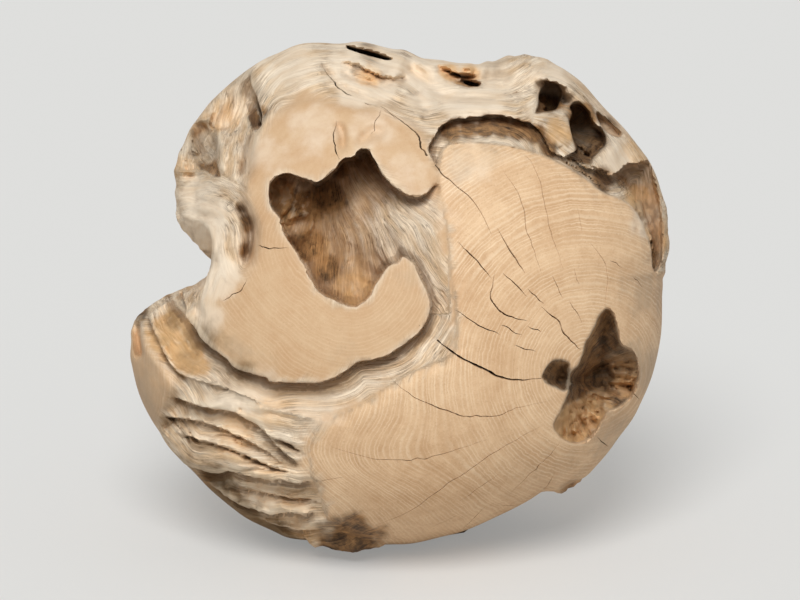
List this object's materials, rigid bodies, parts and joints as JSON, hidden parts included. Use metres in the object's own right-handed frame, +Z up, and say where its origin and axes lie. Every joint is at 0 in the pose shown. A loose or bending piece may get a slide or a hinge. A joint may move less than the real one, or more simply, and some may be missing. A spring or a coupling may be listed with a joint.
{
  "type": "wooden ball",
  "caption": "Large decorative ball carved from one mass of old root wood, with sanded faces, deep natural hollows, valleys and drying cracks, standing on a small flat seat.",
  "frame": {"origin": "centre of the ball's box", "axes": "+Z up, the carved face looks along -Y and slightly up, +X to the right of that face"},
  "size_m": [0.6738, 0.6093, 0.6262],
  "materials": {
    "bleached_root_wood": "sanded, bleached and unsealed"
  },
  "bodies": {
    "root": {"root_ball": "bleached_root_wood"}
  },
  "joints": []
}
